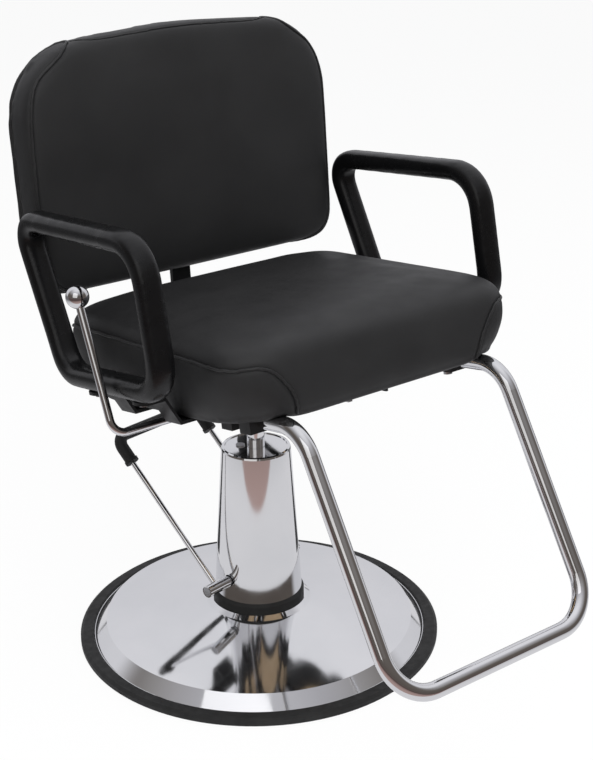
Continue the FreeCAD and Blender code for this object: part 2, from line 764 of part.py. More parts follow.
def inset_corners(corners, depth):
    """The corners of the same outline drawn a set depth further in."""
    centre = (corners[0] + corners[1] + corners[2] + corners[3]) * 0.25
    result = []
    for i in range(4):
        sides = []
        for a, b in ((corners[i - 1], corners[i]), (corners[i], corners[(i + 1) % 4])):
            along = (b - a).normalize()
            across = Vector(-along.y, along.x)
            if across.dot(centre - a) < 0:
                across = -across
            sides.append((a + across * depth, along))
        (p, u), (q, v) = sides
        gap = q - p
        share = (gap.x * v.y - gap.y * v.x) / (u.x * v.y - u.y * v.x)
        result.append(p + u * share)
    return result


arm_loop = [(corner, radius) for corner, radius in zip(arm_corners, arm_radii)]
arm_gap_corners = inset_corners(arm_corners, num("arm_thickness"))
arm_gap = []
for corner, radius in zip(arm_gap_corners, arm_radii):
    arm_gap.append((corner, radius - num("arm_thickness") + num("arm_hole_round")))
flat_to_side = Placement(Vector(), Rotation(Vector(1, 1, 1), 120))
for side, label in ((-1, "arm_left"), (1, "arm_right")):
    face = Part.Face(rounded_loop(arm_loop)).cut(Part.Face(rounded_loop(arm_gap)))
    slab = face.extrude(Vector(0, 0, num("arm_width")))
    rims = [edge for edge in slab.Edges if abs(edge.tangentAt(edge.FirstParameter).z) < 0.5]
    soft = slab.makeFillet(num("arm_edge"), rims)
    start = arm_inner.number if side > 0 else -arm_inner.number - num("arm_width")
    toe_in = Placement(Vector(start, 0, 0), Rotation(Z_AXIS, side * num("arm_toe_in")),
                       Vector(0, -num("rear_strap_at"), 0))
    arm_blank = drawn(soft, SEAT.multiply(toe_in).multiply(flat_to_side))
    node(cut(arm_blank, [arm_bolts]), label)

# Footrest: one bent tube, let into the board and held there by two clamp blocks on each side.
foot_outer = swept(foot_path, foot_bends, num("tube_radius"))
foot_inner = swept(foot_path, foot_bends, num("tube_radius") - num("tube_wall"))
node(drawn(foot_outer.cut(foot_inner), SEAT), "footrest")
for side, label in ((-1, "footrest_clamps_left"), (1, "footrest_clamps_right")):
    blocks = []
    tube_spaces = []
    for x, y in clamp_spots:
        if x * side > 0:
            reach = size("clamp_half_width")
            long = size("clamp_length") / 2
            blocks.append(block(SEAT, -reach + x, reach + x, -long + y, long + y, clamp_foot, 0))
            tube_spaces.append(rod(SEAT, size("tube_radius"), (x, y - num("clamp_length"), tube_level), Y_AXIS,
                                   size("clamp_length") * 2))
    node(cut(fused(blocks), tube_spaces + [clamp_screw_set]), label)
node(clamp_screw_set, "clamp_screws")

# Seat cushion: level outlines from the foot to the crown, tipped forward little by little.
SEAT_LAYERS = [
    # height as a share of the thickness, side inset, front inset, rear inset, front radius, rear radius
    (0.0, 10, 8, 50, 122, 60),
    (0.17, 2, 2, 30, 100, 50),
    (0.42, 0, 0, 8, 74, 42),
    (0.66, 0, 1, 0, 68, 36),
    (0.76, 1.5, 3, 0.5, 68, 37),
    (0.83, 5, 8, 3, 68, 38),
    (0.885, 11, 15, 7, 70, 40),
    (0.925, 20, 26, 14, 72, 42),
    (0.955, 33, 40, 23, 74, 44),
    (0.977, 50, 60, 35, 76, 46),
    (0.992, 84, 96, 62, 78, 48),
    (1.0, 124, 138, 94, 78, 48),
]


def seat_layer(share, side, front, rear, front_radius, rear_radius):
    """One outline of the seat cushion at a share of its thickness."""
    x = num("seat_half_width") - side
    y0 = -num("seat_front") + front
    y1 = num("seat_rear") - rear
    z = share * num("seat_thickness")
    wire = rounded_loop([(Vector(-x, y0, 0), front_radius), (Vector(x, y0, 0), front_radius),
                         (Vector(x, y1, 0), rear_radius), (Vector(-x, y1, 0), rear_radius)])
    wire.Placement = Placement(Vector(0, 0, z), Rotation(X_AXIS, share * num("seat_wedge")),
                               Vector(0, num("seat_rear"), 0))
    return wire


seat_wires = [seat_layer(*layer) for layer in SEAT_LAYERS]
seat_blank = drawn(Part.makeLoft(seat_wires, True, True), SEAT)
node(cut(seat_blank, [board_blank, frame_bolts, clamp_screw_set, foot_groove]), "seat_cushion")

# Back hinge: pin through the two ears, a tube that turns on it with the bar and the crank.
pin_half = tray_half + size("pin_overhang")
node(rod(SEAT, size("pin_radius"), (-pin_half, hinge_y, hinge_z), X_AXIS, pin_half * 2), "hinge_pin")
pivot_half = size("pivot_half_length")
washers = []
for start in (-tray_inner, pivot_half):
    washer_spot = (start, hinge_y, hinge_z)
    washer_width = tray_inner - pivot_half
    washer_disc = rod(SEAT, size("pivot_radius") - size("washer_step"), washer_spot, X_AXIS, washer_width)
    washers.append(cut(washer_disc, [rod(SEAT, size("pin_radius"), washer_spot, X_AXIS, washer_width)]))
node(fused(washers), "hinge_washers")

pivot_hole = size("pin_radius") + size("slide_clearance")
tube = rod(BACK, size("pivot_radius"), (-pivot_half, 0, 0), X_AXIS, pivot_half * 2)
tube_space = rod(BACK, pivot_hole, (-pivot_half, 0, 0), X_AXIS, pivot_half * 2)
crank_in = size("crank_side") - size("crank_reach") - size("crank_plate")
lag = math.radians(num("crank_lag"))
pin_spot = Vector(0, num("hinge_behind") + num("crank_length") * math.sin(lag),
                  -num("hinge_below") - num("crank_length") * math.cos(lag))
crank_place = SEAT.multiply(Placement(Vector(crank_in.number, num("hinge_behind"), -num("hinge_below")),
                                      Rotation(X_AXIS, num("crank_lag"))))
crank_arm = block(crank_place, 0, size("crank_plate"), -size("crank_eye_radius"), size("crank_eye_radius"),
                  -size("crank_length"), 0)
crank_eye = rod(SEAT, size("crank_eye_radius"), (crank_in, pin_spot.y, pin_spot.z), X_AXIS, size("crank_plate"))
node(cut(fused([tube, crank_arm, crank_eye]), [tube_space]), "pivot_tube")
crank_pin_start = crank_in + size("crank_plate")
node(rod(SEAT, size("crank_pin_radius"), (crank_pin_start, pin_spot.y, pin_spot.z), X_AXIS,
         size("crank_pin_length")), "crank_pin")

bar_front = size("back_foam") + size("back_board_thickness")
bar_rear = bar_front + size("bar_thickness")
bar_top = size("back_foot") + size("bar_rise")
half_bar = size("bar_thickness") / 2
bar_blank = padded(BACK, "YZ_Plane", [
    (0, -half_bar), (bar_rear, -half_bar), (bar_rear, bar_top), (bar_front, bar_top), (bar_front, half_bar),
    (0, half_bar)], size("bar_width"))
rounded(bar_blank, size("bar_bend"), lambda edge: abs(edge.tangentAt(edge.FirstParameter).x) > 0.99
        and abs(middle(edge).y - bar_rear.number) < 0.01 and middle(edge).z < 0)
rounded(bar_blank, size("bar_bend") - size("bar_thickness"),
        lambda edge: abs(edge.tangentAt(edge.FirstParameter).x) > 0.99
        and abs(middle(edge).y - bar_front.number) < 0.01 and abs(middle(edge).z - half_bar.number) < 0.01)
bar_screw_shanks = []
bar_screw_heads = []
for share in (0.15, 0.35, 0.55):
    z = size("back_foot") + size("back_height") * share
    start = bar_front - size("bolt_depth")
    bar_screw_shanks.append(rod(BACK, size("frame_bolt_radius"), (0, start, z), Y_AXIS, bar_rear - start))
    bar_screw_heads.append(rod(BACK, size("frame_bolt_radius") * 1.7, (0, bar_rear, z), Y_AXIS,
                                size("screw_head")))
bar_screws = fused(bar_screw_shanks + bar_screw_heads)
tube_solid = rod(BACK, size("pivot_radius"), (-pivot_half, 0, 0), X_AXIS, pivot_half * 2)
node(cut(bar_blank, [tube_solid, bar_screws]), "back_bar")
node(bar_screws, "bar_screws")

# Back cushion, board and rear panel: outlines across the depth, drawn in toward the front and the rear.


def back_layer(depth, inset, top_inset):
    """One outline of the back at a depth behind its front welt."""
    x0 = back_half - inset
    x1 = back_half + num("back_flare") - inset
    z0 = num("back_foot") + inset
    z2 = num("back_foot") + num("back_height") - top_inset
    z1 = z2 - num("back_arch") * x1 / back_half
    foot = num("back_foot_corner")
    top = num("back_top_corner") - 0.6 * inset
    return rounded_loop([(Vector(-x0, depth, z0), foot), (Vector(x0, depth, z0), foot), (Vector(x1, depth, z1), top),
                         (Vector(0, depth, z2), num("back_arch_radius")), (Vector(-x1, depth, z1), top)])


FRONT_LAYERS = [
    # depth behind the crown as a share of the crown and the shoulder, inset
    (0.0, 90),
    (0.015, 66),
    (0.05, 44),
    (0.12, 27),
    (0.24, 14),
    (0.39, 6.5),
    (0.57, 2.5),
    (0.78, 0.6),
    (1.0, 0),
]
REAR_LAYERS = [
    # depth as a share of the panel, inset
    (0.0, 0),
    (0.3, 0.6),
    (0.52, 2.6),
    (0.71, 6.5),
    (0.86, 13),
    (0.95, 24),
    (1.0, 44),
]
crown = num("back_crown")
shoulder = num("back_shoulder")
rear_face = num("back_foam") + num("back_board_thickness")
cushion_wires = []
for share, inset in FRONT_LAYERS:
    cushion_wires.append(back_layer(share * (crown + shoulder) - crown, inset, inset * 1.2))
cushion_wires.append(back_layer(rear_face, 0, 0))
panel_wires = []
for share, inset in REAR_LAYERS:
    panel_wires.append(back_layer(rear_face + share * num("back_panel_depth"), inset, inset * 1.2))
board_margin = num("back_board_margin")
board_wire = back_layer(rear_face - num("back_board_thickness"), board_margin, board_margin)
back_board_blank = drawn(Part.Face(board_wire).extrude(Vector(0, num("back_board_thickness"), 0)), BACK)
back_blank = drawn(Part.makeLoft(cushion_wires, True, True), BACK)
node(cut(back_blank, [back_board_blank]), "back_cushion")
node(cut(back_board_blank, [bar_screws]), "back_board")
panel_blank = drawn(Part.makeLoft(panel_wires, True, True), BACK)
bar_space = block(BACK, -size("bar_width") / 2 - size("bar_play"), size("bar_width") / 2 + size("bar_play"),
                  bar_front, bar_rear + size("bar_screw_room"), 0, bar_top + size("bar_play") * 2)
node(cut(panel_blank, [bar_space]), "back_panel")

# Recline lock: a cylinder hung under the tray, its rod with a slotted end on the crank pin.
lock_x = size("crank_side")
lock_z = -size("hinge_below") - size("crank_length") * math.cos(lag)
lock_blank = rod(SEAT, size("lock_radius"), (lock_x, -size("lock_front"), lock_z), Y_AXIS,
                 size("lock_front") + size("lock_rear"))
rod_stroke = 2 * num("crank_length") * math.sin(lag)
rod_start = size("lock_rear") - size("rod_in_lock")
bore_end = rod_start - rod_stroke - size("rod_end_room")
lock_bore = rod(SEAT, size("lock_rod_radius") + size("slide_clearance"), (lock_x, bore_end, lock_z), Y_AXIS,
                size("lock_rear") - bore_end)
release_end = lever_y + size("finger_thickness") / 2 + size("release_gap")
release_tail = release_end + size("release_length")
release_hole = size("release_radius") + size("slide_clearance")
release_bore = rod(SEAT, release_hole, (lock_x, -size("lock_front"), lock_z), Y_AXIS,
                   size("lock_front") + release_tail + size("release_room"))
node(cut(lock_blank, [lock_bore, release_bore]), "lock_cylinder")
lock_hangers = []
for y in (-size("lock_front") + size("front_hanger_at"), size("lock_rear") - size("rear_hanger_at")):
    lock_hangers.append(block(SEAT, lock_x - size("hanger_half_width"), lock_x + size("hanger_half_width"), y,
                              y + size("hanger_thickness"), lock_z - size("hanger_below"), tray_foot))
lock_space = rod(SEAT, size("lock_radius"), (lock_x, -size("lock_front"), lock_z), Y_AXIS,
                 size("lock_front") + size("lock_rear"))
node(cut(fused(lock_hangers), [lock_space]), "lock_hangers")

slot_half = size("crank_pin_radius") + size("fork_play")
slot_low = -size("crank_length") - size("hinge_below") - slot_half - 1
slot_high = lock_z + slot_half + 1
rod_end = pin_spot.y - num("fork_half_length")
fork_block = block(SEAT, lock_x - size("fork_half_width"), lock_x + size("fork_half_width"), rod_end,
                   pin_spot.y + num("fork_half_length"), slot_low - size("fork_wall"),
                   slot_high + size("fork_wall"))
lock_stem = rod(SEAT, size("lock_rod_radius"), (lock_x, rod_start, lock_z), Y_AXIS,
                rod_end - rod_start.number + 2)
fork_slot = block(SEAT, lock_x - size("fork_half_width") * 1.1, lock_x + size("fork_half_width") * 1.1,
                  pin_spot.y - slot_half.number, pin_spot.y + slot_half.number,
                  slot_low, slot_high)
node(cut(fused([fork_block, lock_stem]), [fork_slot]), "lock_rod")
node(rod(SEAT, size("release_radius"), (lock_x, release_end, lock_z), Y_AXIS, release_tail - release_end),
     "release_pin")

# Recline lever: one bent bar with a ball knob, a finger on its inner end and three supports.
lever_tilt = math.radians(num("lever_lean"))
lever_up = Vector(0, math.sin(lever_tilt), math.cos(lever_tilt))
lever_inner = Vector(num("crank_side") + num("lever_past_crank"), lever_y.number, lever_z.number)
lever_corner = Vector(-lever_side.number, lever_y.number, lever_z.number)
lever_tip = lever_corner + lever_up * num("lever_length")
lever_bar = swept([lever_inner, lever_corner, lever_tip], [num("lever_bend")], num("lever_radius"))
node(drawn(lever_bar, SEAT), "lever_rod")
knob_middle = lever_tip + lever_up * (num("knob_radius") - num("knob_seat"))
knob = Part.makeSphere(num("knob_radius"), knob_middle).cut(lever_bar)
node(drawn(knob, SEAT), "lever_knob")
finger_x0 = lock_x - size("finger_width") / 2
finger_x1 = lock_x + size("finger_width") / 2
collar_start = lock_x - size("collar_length") / 2
collar = rod(SEAT, size("lever_radius") + size("collar_wall"), (collar_start, lever_y, lever_z),
             X_AXIS, size("collar_length"))
finger_arm = block(SEAT, finger_x0, finger_x1, lever_y - size("finger_thickness") / 2,
                   lever_y + size("finger_thickness") / 2, lock_z - size("finger_below"), lever_z)
lever_core = rod(SEAT, size("lever_radius"), (lock_x - size("collar_length"), lever_y, lever_z), X_AXIS,
                 size("collar_length") * 2)
node(cut(fused([collar, finger_arm]), [lever_core]), "lever_finger")
lever_hole = size("lever_radius") + size("lever_play")
lever_passage = rod(SEAT, lever_hole, (-lever_side, lever_y, lever_z), X_AXIS, lever_side * 2)
lever_block_foot = lever_z - lever_block_half
for start, width, label in ((-tray_inner + size("lever_bush_inset"), size("lever_bush_width"), "lever_bush"),
                            (lock_x + size("lever_support_gap"), size("lever_support_width"), "lever_support"),
                            (-size("lever_guide_at"), size("lever_guide_width"), "lever_guide")):
    hung_block = block(SEAT, start, start + width, lever_y - lever_block_half, lever_y + lever_block_half,
                       lever_block_foot, 0)
    node(cut(hung_block, [lever_passage]), label)

doc.recompute()

# Checks before the export, then one file for each named piece.
for feature in doc.Objects:
    if "Invalid" in feature.State or "Error" in feature.State:
        raise RuntimeError("%s (%s) did not build: %s" % (feature.Name, feature.Label, feature.State))
os.makedirs("parts", exist_ok=True)
for feature in nodes:
    shape = feature.Shape
    if shape.isNull() or not shape.isValid() or shape.Volume < 1:
        raise RuntimeError("%s has no sound shape" % feature.Label)
    shape.exportStep("parts/%s.step" % feature.Label)
    print("%-22s solids %d volume %.0f" % (feature.Label, len(shape.Solids), shape.Volume))
print("nodes", len(nodes))
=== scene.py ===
import bmesh
import bpy
import json
import math
from mathutils import Matrix, Vector
from mathutils.bvhtree import BVHTree
from mathutils.kdtree import KDTree


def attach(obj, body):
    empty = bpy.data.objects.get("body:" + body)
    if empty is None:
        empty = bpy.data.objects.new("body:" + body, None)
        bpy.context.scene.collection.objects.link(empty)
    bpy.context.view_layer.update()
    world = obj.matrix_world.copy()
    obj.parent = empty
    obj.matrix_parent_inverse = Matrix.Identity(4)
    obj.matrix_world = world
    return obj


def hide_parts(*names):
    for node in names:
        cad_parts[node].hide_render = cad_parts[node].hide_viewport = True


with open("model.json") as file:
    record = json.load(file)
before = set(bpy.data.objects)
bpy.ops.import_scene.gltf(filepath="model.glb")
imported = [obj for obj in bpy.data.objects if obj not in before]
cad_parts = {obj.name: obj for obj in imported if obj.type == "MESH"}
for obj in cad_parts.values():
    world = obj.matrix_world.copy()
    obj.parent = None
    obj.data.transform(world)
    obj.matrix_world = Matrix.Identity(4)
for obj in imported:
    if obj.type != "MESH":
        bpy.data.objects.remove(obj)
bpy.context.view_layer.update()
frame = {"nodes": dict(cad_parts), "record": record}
scene = bpy.context.scene

# Lengths are metres. The seams' marks alone are millimetres, in the place of the seat frame or of the back.
MILLIMETRES_PER_METRE = 1000.0
SEAT_PLACE = Matrix.Translation((0, 0, 0.481)) @ Matrix.Rotation(math.radians(-10.5), 4, "X")
BACK_PLACE = Matrix.Translation((0, 0.12764, 0.42887)) @ Matrix.Rotation(math.radians(-5.0), 4, "X")


# Nodes that finishes and studio share

def colour_ramp(nodes, links, value, stops):
    ramp = nodes.new("ShaderNodeValToRGB")
    marks = ramp.color_ramp.elements
    while len(marks) < len(stops):
        marks.new(0.5)
    for mark, (position, colour) in zip(marks, stops):
        mark.position = position
        mark.color = (*colour, 1.0)
    links.new(value, ramp.inputs["Fac"])
    return ramp.outputs["Color"]


def remapped(nodes, links, value, start, end, low=0.0, high=1.0, eased_ends=False):
    """The value's range from start to end spread over low to high."""
    spread = nodes.new("ShaderNodeMapRange")
    if eased_ends:
        spread.interpolation_type = "SMOOTHSTEP"
    spread.inputs["From Min"].default_value = start
    spread.inputs["From Max"].default_value = end
    spread.inputs["To Min"].default_value = low
    spread.inputs["To Max"].default_value = high
    links.new(value, spread.inputs["Value"])
    return spread.outputs["Result"]


def shaders_mixed(nodes, links, share, first, second):
    mixed = nodes.new("ShaderNodeMixShader")
    links.new(share, mixed.inputs["Fac"])
    links.new(first, mixed.inputs[1])
    links.new(second, mixed.inputs[2])
    return mixed.outputs[0]


def larger(nodes, links, first, second):
    pick = nodes.new("ShaderNodeMath")
    pick.operation = "MAXIMUM"
    links.new(first, pick.inputs[0])
    links.new(second, pick.inputs[1])
    return pick.outputs[0]


def along(nodes, links, place, heading):
    """How far the place lies along the heading."""
    measure = nodes.new("ShaderNodeVectorMath")
    measure.operation = "DOT_PRODUCT"
    measure.inputs[1].default_value = heading
    links.new(place, measure.inputs[0])
    return measure.outputs["Value"]


# Finishes

# Noise values mostly lie between these two.
NOISE_LOW, NOISE_HIGH = 0.3, 0.7


class Finish:
    """A procedural material on Object coordinates, with the few nodes that the chair's finishes share."""

    def __init__(self, name):
        self.material = bpy.data.materials.new(name)
        self.material.use_nodes = True
        self.nodes = self.material.node_tree.nodes
        self.links = self.material.node_tree.links
        self.shader = self.nodes["Principled BSDF"]
        self.place = self.nodes.new("ShaderNodeTexCoord").outputs["Object"]
        self.last_bump = None

    def stretched(self, x, y, z):
        mapping = self.nodes.new("ShaderNodeMapping")
        mapping.inputs["Scale"].default_value = (x, y, z)
        self.links.new(self.place, mapping.inputs["Vector"])
        return mapping.outputs["Vector"]

    def noise(self, scale, detail=3.0, place=None):
        cloud = self.nodes.new("ShaderNodeTexNoise")
        cloud.inputs["Scale"].default_value = scale
        cloud.inputs["Detail"].default_value = detail
        self.links.new(place or self.place, cloud.inputs["Vector"])
        return cloud.outputs["Fac"]

    def pebbles(self, scale):
        cells = self.nodes.new("ShaderNodeTexVoronoi")
        cells.feature = "DISTANCE_TO_EDGE"
        cells.inputs["Scale"].default_value = scale
        self.links.new(self.place, cells.inputs["Vector"])
        return cells.outputs["Distance"]

    def between(self, value, low, high, start=NOISE_LOW, end=NOISE_HIGH):
        return remapped(self.nodes, self.links, value, start, end, low, high)

    def tints(self, value, *stops):
        colour = colour_ramp(self.nodes, self.links, value, stops)
        self.links.new(colour, self.shader.inputs["Base Color"])

    def two_tints(self, value, dark, light):
        self.tints(value, (NOISE_LOW, dark), (NOISE_HIGH, light))

    def rough(self, value, low, high):
        self.links.new(self.between(value, low, high), self.shader.inputs["Roughness"])

    def bump(self, value, strength, depth):
        ridge = self.nodes.new("ShaderNodeBump")
        ridge.inputs["Strength"].default_value = strength
        ridge.inputs["Distance"].default_value = depth
        self.links.new(value, ridge.inputs["Height"])
        if self.last_bump:
            self.links.new(self.last_bump, ridge.inputs["Normal"])
        self.last_bump = ridge.outputs["Normal"]
        self.links.new(self.last_bump, self.shader.inputs["Normal"])

    def shine(self, level):
        self.shader.inputs["Specular IOR Level"].default_value = level

    def metal(self):
        self.shader.inputs["Metallic"].default_value = 1.0


def black_vinyl():
    vinyl = Finish("black_vinyl")
    vinyl.two_tints(vinyl.noise(scale=9.0, detail=4.0), dark=(0.0125, 0.0125, 0.013), light=(0.0165, 0.0165, 0.017))
    vinyl.rough(vinyl.noise(scale=26.0), low=0.44, high=0.54)
    vinyl.bump(vinyl.noise(scale=14.0, detail=2.0), strength=0.12, depth=0.004)
    vinyl.bump(vinyl.noise(scale=150.0, detail=4.0), strength=0.16, depth=0.0008)
    grain = vinyl.between(vinyl.pebbles(scale=900.0), low=0.0, high=1.0, start=0.0, end=0.12)
    vinyl.bump(grain, strength=0.35, depth=0.00015)
    vinyl.shine(0.32)
    return vinyl.material


def piping_vinyl():
    vinyl = Finish("piping_vinyl")
    vinyl.two_tints(vinyl.noise(scale=40.0), dark=(0.012, 0.012, 0.0125), light=(0.017, 0.017, 0.0175))
    vinyl.rough(vinyl.noise(scale=60.0), low=0.38, high=0.5)
    vinyl.bump(vinyl.pebbles(scale=1100.0), strength=0.3, depth=0.0001)
    vinyl.shine(0.36)
    return vinyl.material


def arm_skin():
    skin = Finish("arm_skin")
    skin.two_tints(skin.noise(scale=12.0), dark=(0.0028, 0.0028, 0.0031), light=(0.0045, 0.0045, 0.0049))
    skin.rough(skin.noise(scale=30.0), low=0.24, high=0.32)
    skin.bump(skin.noise(scale=420.0, detail=2.0), strength=0.04, depth=0.0002)
    skin.shine(0.34)
    return skin.material


def bright_chrome():
    chrome = Finish("bright_chrome")
    chrome.two_tints(chrome.noise(scale=8.0), dark=(0.78, 0.785, 0.80), light=(0.84, 0.84, 0.85))
    chrome.rough(chrome.noise(scale=35.0, detail=5.0), low=0.05, high=0.09)
    chrome.bump(chrome.noise(scale=11.0, detail=1.0), strength=0.05, depth=0.004)
    chrome.metal()
    return chrome.material


def black_rubber():
    rubber = Finish("black_rubber")
    rubber.two_tints(rubber.noise(scale=25.0), dark=(0.010, 0.010, 0.010), light=(0.016, 0.016, 0.016))
    rubber.rough(rubber.noise(scale=90.0), low=0.5, high=0.68)
    rubber.bump(rubber.noise(scale=700.0, detail=2.0), strength=0.25, depth=0.0002)
    rubber.shine(0.35)
    return rubber.material


def black_steel():
    steel = Finish("black_steel")
    steel.two_tints(steel.noise(scale=18.0), dark=(0.006, 0.006, 0.0065), light=(0.010, 0.010, 0.0105))
    steel.rough(steel.noise(scale=60.0), low=0.36, high=0.5)
    steel.bump(steel.noise(scale=300.0), strength=0.15, depth=0.0002)
    steel.shine(0.3)
    return steel.material


def plain_steel():
    steel = Finish("plain_steel")
    brushed = steel.noise(scale=60.0, detail=6.0, place=steel.stretched(1.0, 1.0, 14.0))
    steel.two_tints(brushed, dark=(0.44, 0.44, 0.46), light=(0.56, 0.56, 0.57))
    steel.rough(brushed, low=0.26, high=0.4)
    steel.bump(brushed, strength=0.1, depth=0.0002)
    steel.metal()
    return steel.material


def bearing_plastic():
    plastic = Finish("bearing_plastic")
    plastic.two_tints(plastic.noise(scale=40.0), dark=(0.06, 0.06, 0.065), light=(0.085, 0.085, 0.09))
    plastic.rough(plastic.noise(scale=120.0), low=0.4, high=0.55)
    plastic.bump(plastic.noise(scale=600.0), strength=0.2, depth=0.0001)
    return plastic.material


def plywood():
    wood = Finish("plywood")
    streaks = wood.noise(scale=22.0, detail=8.0, place=wood.stretched(0.25, 3.0, 3.0))
    wood.tints(streaks, (0.25, (0.27, 0.18, 0.10)), (0.5, (0.42, 0.30, 0.18)), (0.75, (0.52, 0.39, 0.25)))
    wood.rough(streaks, low=0.55, high=0.75)
    wood.bump(streaks, strength=0.3, depth=0.0006)
    return wood.material


FINISHES = {
    "black_vinyl": black_vinyl(),
    "arm_skin": arm_skin(),
    "bright_chrome": bright_chrome(),
    "black_rubber": black_rubber(),
    "black_steel": black_steel(),
    "plain_steel": plain_steel(),
    "bearing_plastic": bearing_plastic(),
    "plywood": plywood(),
}
PIPING_VINYL = piping_vinyl()

for part in frame["record"]["subparts"]:
    solid = frame["nodes"][part["node"]]
    solid.data.materials.clear()
    solid.data.materials.append(FINISHES[part["material_slot"]])


# Skins over the soft solids

CUSHION_VOXEL = 0.006
ARM_VOXEL = 0.004
WELD_DISTANCE = 0.00002
FIRST_SMOOTHING = 3
CUSHION_SMOOTHING = 14
ARM_SMOOTHING = 16


def piece(name, mesh, finish):
    thing = bpy.data.objects.new(name, mesh)
    scene.collection.objects.link(thing)
    mesh.materials.clear()
    mesh.materials.append(finish)
    for face in mesh.polygons:
        face.use_smooth = True
    return thing


def settled(thing):
    """The piece's mesh with its modifiers worked in."""
    bpy.context.view_layer.update()
    return bpy.data.meshes.new_from_object(thing.evaluated_get(bpy.context.evaluated_depsgraph_get()))


def smoothed(shape, passes):
    for _ in range(passes):
        bmesh.ops.smooth_vert(shape, verts=shape.verts, factor=0.5,
                              use_axis_x=True, use_axis_y=True, use_axis_z=True)


def main_island_only(shape):
    """Drops any loose bits that the remesh leaves inside."""
    left = set(shape.verts)
    islands = []
    while left:
        edge_of_search = [left.pop()]
        island = list(edge_of_search)
        while edge_of_search:
            vert = edge_of_search.pop()
            for edge in vert.link_edges:
                other = edge.other_vert(vert)
                if other in left:
                    left.remove(other)
                    edge_of_search.append(other)
                    island.append(other)
        islands.append(island)
    islands.sort(key=len)
    for island in islands[:-1]:
        bmesh.ops.delete(shape, geom=island, context="VERTS")


def laid_back(mesh, solid, smoothing):
    """Lays the remeshed skin back on the solid, so that it keeps the form without the remesh's steps."""
    shape = bmesh.new()
    shape.from_mesh(mesh)
    main_island_only(shape)
    smoothed(shape, FIRST_SMOOTHING)
    for vert in shape.verts:
        vert.co = solid.find_nearest(vert.co)[0]
    smoothed(shape, smoothing)
    bmesh.ops.recalc_face_normals(shape, faces=shape.faces)
    shape.to_mesh(mesh)
    shape.free()


def skin_round(name, node, voxel, finish, smoothing):
    """A closed skin over one soft solid, with even faces."""
    shape = bmesh.new()
    shape.from_mesh(frame["nodes"][node].data)
    bmesh.ops.remove_doubles(shape, verts=shape.verts, dist=WELD_DISTANCE)
    solid = BVHTree.FromBMesh(shape)
    mesh = bpy.data.meshes.new(name)
    shape.to_mesh(mesh)
    shape.free()
    thing = piece(name, mesh, finish)
    even = thing.modifiers.new("even_faces", "REMESH")
    even.mode = "VOXEL"
    even.voxel_size = voxel
    even.use_smooth_shade = True
    skin = settled(thing)
    thing.modifiers.remove(even)
    thing.data = skin
    bpy.data.meshes.remove(mesh)
    laid_back(skin, solid, smoothing)
    return thing


def cushion_skin(name, node):
    return skin_round(name, node, CUSHION_VOXEL, FINISHES["black_vinyl"], CUSHION_SMOOTHING)


def finer(thing):
    """One subdivision worked into the mesh, so that seams can be drawn in sharply."""
    coarse = thing.data
    fine = thing.modifiers.new("finer", "SUBSURF")
    fine.levels = 1
    fine.render_levels = 1
    skin = settled(thing)
    thing.modifiers.remove(fine)
    thing.data = skin
    bpy.data.meshes.remove(coarse)


# Seam lines

SEAM_CURVE_ORDER = 3
SEAM_CURVE_STEPS = 10


def drawn(name, points, kind, closed):
    """A curve of the given kind along the points, and the object that holds it."""
    curve = bpy.data.curves.new(name, "CURVE")
    curve.dimensions = "3D"
    run = curve.splines.new(kind)
    run.points.add(len(points) - 1)
    for mark, point in zip(run.points, points):
        mark.co = (*point, 1.0)
    run.use_cyclic_u = closed
    holder = bpy.data.objects.new(name, curve)
    scene.collection.objects.link(holder)
    return holder, curve, run


def meshed(holder, curve):
    """The curve's mesh. The curve and its holder are removed."""
    mesh = settled(holder)
    bpy.data.objects.remove(holder)
    bpy.data.curves.remove(curve)
    return mesh


def smooth_line(points, closed):
    """Points along a smooth curve that follows the seam's marks."""
    holder, curve, run = drawn("seam", points, "NURBS", closed)
    run.order_u = SEAM_CURVE_ORDER
    run.use_endpoint_u = not closed
    run.resolution_u = SEAM_CURVE_STEPS
    mesh = meshed(holder, curve)
    line = [vert.co.copy() for vert in mesh.vertices]
    bpy.data.meshes.remove(mesh)
    return line


def surface_of(thing):
    mesh = settled(thing)
    shape = bmesh.new()
    shape.from_mesh(mesh)
    tree = BVHTree.FromBMesh(shape)
    shape.free()
    bpy.data.meshes.remove(mesh)
    return tree


def laid_on(thing, line, lift=0.0):
    """The line moved onto the piece's surface, standing off it by lift."""
    tree = surface_of(thing)
    laid = []
    for point in line:
        spot, normal, _, _ = tree.find_nearest(point)
        laid.append(spot + normal * lift)
    return laid


def distances(mesh, line):
    """How far each vertex is from the line."""
    tree = KDTree(len(line))
    for index, point in enumerate(line):
        tree.insert(point, index)
    tree.balance()
    return [tree.find(vert.co)[2] for vert in mesh.vertices]


def on_side(marks, place, side):
    """The marks in metres in the shared frame. side is -1 for their mirror image and 1 for the marks as they are."""
    return [place @ (Vector((x * side, y, z)) / MILLIMETRES_PER_METRE) for x, y, z in marks]


# Filling of the cushions

CLOTH_QUALITY = 3
CLOTH_MASS = 0.3
CLOTH_PRESSURE = 4.0
CLOTH_FRAMES = 20
SEWN_WIDTH = 0.004
SEWN_FADE = 0.012
EASING_PASSES = 24
OWN_SHARE, NEIGHBOUR_SHARE = 0.4, 0.6


def eased(mesh, heights, fixed):
    """Heights averaged with their neighbours, except where fixed, so that the filled skin is free of wrinkles."""
    around = [[] for _ in mesh.vertices]
    for edge in mesh.edges:
        first, second = edge.vertices
        around[first].append(second)
        around[second].append(first)
    for _ in range(EASING_PASSES):
        means = [sum(heights[other] for other in others) / len(others) for others in around]
        heights = [height if pinned else OWN_SHARE * height + NEIGHBOUR_SHARE * mean
                   for height, pinned, mean in zip(heights, fixed, means)]
    return heights


